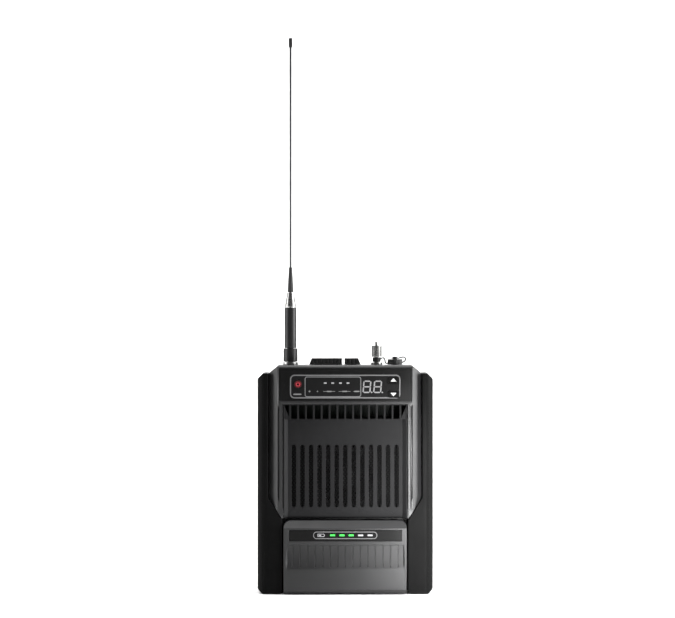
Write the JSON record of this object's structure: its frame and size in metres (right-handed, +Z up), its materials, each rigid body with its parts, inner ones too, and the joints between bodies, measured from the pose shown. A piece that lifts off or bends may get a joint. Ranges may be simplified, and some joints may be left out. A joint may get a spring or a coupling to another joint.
{
  "type": "portable two-way radio repeater",
  "caption": "Flat upright radio case with rubber side guards, slotted grille, control panel, clip-on battery pack, capped ports and a tall whip antenna.",
  "frame": {"origin": "on the ground, below the middle of the case", "axes": "+X to the right of a person facing the control panel, -Y out of the control panel, +Z up along the antenna"},
  "size_m": [0.176, 0.066, 0.56],
  "materials": {
    "housing": "fine satin texture",
    "cast": "black powder coat",
    "rubber": "matte",
    "grille": "fine satin texture",
    "fascia": "smooth satin",
    "lens": "smoked, gloss",
    "button": "satin",
    "power_button": "translucent red",
    "light": "diffusing",
    "board": "solder mask",
    "steel": "plain",
    "nickel": "bright nickel plate",
    "insulator": "white",
    "black_plastic": "satin",
    "cell": "shrink sleeve"
  },
  "bodies": {
    "case": {"front_housing": "housing", "rear_chassis": "cast", "case_gasket": "rubber", "right_side_guard": "rubber", "left_side_guard": "rubber", "vent_grille": "grille", "case_screw_1": "steel", "case_screw_2": "steel", "case_screw_3": "steel", "case_screw_4": "steel", "case_screw_5": "steel", "case_screw_6": "steel", "control_fascia": "fascia", "display_window": "lens", "status_light_1": "light", "status_light_2": "light", "status_light_3": "light", "status_light_4": "light", "digit_display": "black_plastic", "power_switch": "steel", "button_mat": "rubber", "control_board": "board", "fan_frame": "black_plastic", "main_board": "board", "amplifier_shield": "steel", "duplex_filter": "steel", "battery_terminal": "black_plastic", "top_panel": "cast", "antenna_jack": "nickel", "rf_jack": "nickel", "rf_jack_insulator": "insulator", "cap_strap": "rubber", "accessory_socket": "black_plastic", "network_socket": "black_plastic", "wide_cover_pin": "steel", "narrow_cover_pin": "steel"},
    "antenna": {"antenna_sleeve": "black_plastic", "antenna_ferrule": "nickel", "antenna_boot": "rubber", "antenna_whip": "steel", "antenna_tip": "rubber"},
    "antenna_nut": {"antenna_nut": "black_plastic"},
    "battery": {"battery_shell": "housing", "battery_back": "black_plastic", "gauge_window": "lens", "battery_board": "board", "battery_cell_1": "cell", "battery_cell_2": "cell", "battery_cell_3": "cell", "battery_cell_4": "cell", "battery_cell_5": "cell", "battery_cell_6": "cell"},
    "battery_latch": {"battery_latch": "button"},
    "power_button": {"power_button": "power_button"},
    "channel_up_button": {"channel_up_button": "button"},
    "channel_down_button": {"channel_down_button": "button"},
    "wide_port_cover": {"wide_port_cover": "rubber"},
    "narrow_port_cover": {"narrow_port_cover": "rubber"},
    "dust_cap": {"dust_cap": "rubber"},
    "fan_rotor": {"fan_rotor": "black_plastic"}
  },
  "joints": [
    {"name": "antenna_lift", "type": "slide", "parent": "case", "child": "antenna", "axis": [0, 0, 1], "range_m": [0, 0.012]},
    {"name": "antenna_nut_turn", "type": "hinge", "parent": "antenna", "child": "antenna_nut", "pos_m": [-0.0553, 0.01, 0.239], "axis": [0, 0, 1], "continuous": true},
    {"name": "battery_slide", "type": "slide", "parent": "case", "child": "battery", "axis": [0, -1, 0], "range_m": [0, 0.04]},
    {"name": "battery_latch_slide", "type": "slide", "parent": "battery", "child": "battery_latch", "axis": [0, -1, 0], "range_m": [0, 0.0035], "stiffness_N_per_m": 300},
    {"name": "power_button_press", "type": "slide", "parent": "case", "child": "power_button", "axis": [0, 1, 0], "range_m": [0, 0.0012], "stiffness_N_per_m": 800},
    {"name": "channel_up_press", "type": "slide", "parent": "case", "child": "channel_up_button", "axis": [0, 1, 0], "range_m": [0, 0.0012], "stiffness_N_per_m": 800},
    {"name": "channel_down_press", "type": "slide", "parent": "case", "child": "channel_down_button", "axis": [0, 1, 0], "range_m": [0, 0.0012], "stiffness_N_per_m": 800},
    {"name": "wide_cover_hinge", "type": "hinge", "parent": "case", "child": "wide_port_cover", "pos_m": [-0.02, 0.0225, 0.2315], "axis": [-1, 0, 0], "range_deg": [0, 100]},
    {"name": "narrow_cover_hinge", "type": "hinge", "parent": "case", "child": "narrow_port_cover", "pos_m": [0.0065, 0.0225, 0.2315], "axis": [-1, 0, 0], "range_deg": [0, 100]},
    {"name": "dust_cap_turn", "type": "hinge", "parent": "case", "child": "dust_cap", "pos_m": [0.0505, 0.01, 0.233], "axis": [0, 0, 1], "continuous": true},
    {"name": "fan_spin", "type": "hinge", "parent": "case", "child": "fan_rotor", "pos_m": [0, -0.012, 0.116], "axis": [0, 1, 0], "continuous": true}
  ]
}
